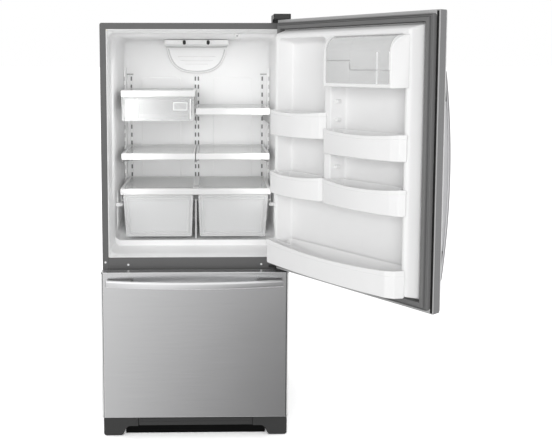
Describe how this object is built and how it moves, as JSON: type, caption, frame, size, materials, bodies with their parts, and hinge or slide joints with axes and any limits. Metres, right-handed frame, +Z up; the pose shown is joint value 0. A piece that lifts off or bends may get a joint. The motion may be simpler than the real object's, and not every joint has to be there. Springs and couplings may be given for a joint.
{
  "type": "bottom freezer refrigerator",
  "caption": "Free-standing refrigerator with one swing door above a pull-out freezer drawer, shown with the door wide open.",
  "frame": {"origin": "floor level, under the middle of the bounding box of the refrigerator with its door open as pictured", "axes": "+Z up, +X to the right of someone facing the front, +Y from the front to the back; the back panel faces +Y"},
  "size_m": [1.2466, 1.3298, 1.724],
  "materials": {
    "stainless": "brushed stainless, satin",
    "cabinet_paint": "grey textured enamel",
    "hinge_paint": "dark grey satin enamel",
    "zinc": "zinc plated sheet",
    "white_liner": "vacuum-formed white",
    "white_trim": "glossy moulded white",
    "clear": "frosted clear moulding",
    "gasket": "matt grey vinyl",
    "dark_trim": "dark grey moulded",
    "mount": "dark grey moulded",
    "black": "black moulded",
    "compressor_black": "black enamel",
    "foam": "rigid polyurethane foam",
    "roller": "black rubber"
  },
  "bodies": {
    "cabinet": {"cabinet_shell": "cabinet_paint", "rear_panel": "zinc", "insulation_foam": "foam", "fridge_liner": "white_liner", "freezer_liner": "white_liner", "centre_mullion": "cabinet_paint", "base_pan": "zinc", "base_grille": "dark_trim", "leg_cover_left": "dark_trim", "leg_cover_right": "dark_trim", "top_hinge_bracket": "hinge_paint", "top_hinge_cover": "hinge_paint", "centre_hinge_bracket": "hinge_paint", "compressor": "compressor_black", "control_housing": "white_trim", "air_diffuser": "white_trim", "shelf_track_left": "white_trim", "shelf_track_centre": "white_trim", "shelf_track_right": "white_trim", "shelf_upper_left": "white_trim", "shelf_upper_right": "white_trim", "shelf_middle_left": "white_trim", "shelf_middle_right": "white_trim", "crisper_cover": "white_trim", "freezer_rail_left": "zinc", "freezer_rail_right": "zinc"},
    "door": {"door_panel": "stainless", "door_liner": "white_liner", "door_gasket": "gasket", "door_handle": "stainless", "door_handle_mount_upper": "mount", "door_handle_mount_lower": "mount", "dairy_compartment": "white_trim", "bin_upper_left": "white_trim", "bin_upper_right": "white_trim", "bin_middle_left": "white_trim", "bin_middle_right": "white_trim", "bin_bottom": "white_trim"},
    "dairy_cover": {"dairy_cover": "clear"},
    "freezer_drawer": {"drawer_panel": "stainless", "drawer_liner": "white_liner", "drawer_gasket": "gasket", "drawer_handle": "stainless", "drawer_handle_mount_left": "mount", "drawer_handle_mount_right": "mount", "drawer_slide_left": "zinc", "drawer_slide_right": "zinc", "freezer_basket": "white_trim"},
    "freezer_tray": {"freezer_tray": "white_trim"},
    "crisper_left": {"crisper_left": "clear"},
    "crisper_right": {"crisper_right": "clear"},
    "deli_drawer": {"deli_drawer": "clear"},
    "control_knob_left": {"control_knob_left": "black"},
    "control_knob_right": {"control_knob_right": "black"},
    "light_switch": {"light_switch": "white_trim"},
    "condenser_fan": {"condenser_fan": "black"},
    "levelling_leg_left": {"levelling_leg_left": "zinc"},
    "levelling_leg_right": {"levelling_leg_right": "zinc"},
    "rear_roller_left": {"rear_roller_left": "roller"},
    "rear_roller_right": {"rear_roller_right": "roller"}
  },
  "joints": [
    {"name": "door_hinge", "type": "hinge", "parent": "cabinet", "child": "door", "pos_m": [0.10972, -0.04605, 1.2], "axis": [0, 0, 1], "range_deg": [-127.9, 7.1]},
    {"name": "dairy_cover_hinge", "type": "hinge", "parent": "door", "child": "dairy_cover", "pos_m": [0.3408, -0.49347, 1.616], "axis": [-0.6143, 0.7891, 0], "range_deg": [0, 75]},
    {"name": "freezer_drawer_slide", "type": "slide", "parent": "cabinet", "child": "freezer_drawer", "axis": [0, -1, 0], "range_m": [0, 0.4]},
    {"name": "freezer_tray_slide", "type": "slide", "parent": "freezer_drawer", "child": "freezer_tray", "axis": [0, 1, 0], "range_m": [0, 0.15]},
    {"name": "crisper_left_slide", "type": "slide", "parent": "cabinet", "child": "crisper_left", "axis": [0, -1, 0], "range_m": [0, 0.25]},
    {"name": "crisper_right_slide", "type": "slide", "parent": "cabinet", "child": "crisper_right", "axis": [0, -1, 0], "range_m": [0, 0.25]},
    {"name": "deli_drawer_slide", "type": "slide", "parent": "cabinet", "child": "deli_drawer", "axis": [0, -1, 0], "range_m": [0, 0.22]},
    {"name": "control_knob_left_turn", "type": "hinge", "parent": "cabinet", "child": "control_knob_left", "pos_m": [-0.29928, 0.41895, 1.627], "axis": [0, -1, 0], "range_deg": [0, 270]},
    {"name": "control_knob_right_turn", "type": "hinge", "parent": "cabinet", "child": "control_knob_right", "pos_m": [-0.19128, 0.41895, 1.627], "axis": [0, -1, 0], "range_deg": [0, 270]},
    {"name": "light_switch_press", "type": "slide", "parent": "cabinet", "child": "light_switch", "axis": [0, 1, 0], "range_m": [0, 0.006]},
    {"name": "condenser_fan_spin", "type": "hinge", "parent": "cabinet", "child": "condenser_fan", "pos_m": [-0.08528, 0.54495, 0.13], "axis": [1, 0, 0], "continuous": true},
    {"name": "levelling_leg_left_turn", "type": "hinge", "parent": "cabinet", "child": "levelling_leg_left", "pos_m": [-0.57528, 0.03995, 0.04], "axis": [0, 0, 1], "continuous": true},
    {"name": "levelling_leg_right_turn", "type": "hinge", "parent": "cabinet", "child": "levelling_leg_right", "pos_m": [0.08472, 0.03995, 0.04], "axis": [0, 0, 1], "continuous": true},
    {"name": "rear_roller_left_spin", "type": "hinge", "parent": "cabinet", "child": "rear_roller_left", "pos_m": [-0.54528, 0.59495, 0.02], "axis": [1, 0, 0], "continuous": true},
    {"name": "rear_roller_right_spin", "type": "hinge", "parent": "cabinet", "child": "rear_roller_right", "pos_m": [0.05472, 0.59495, 0.02], "axis": [1, 0, 0], "continuous": true}
  ]
}
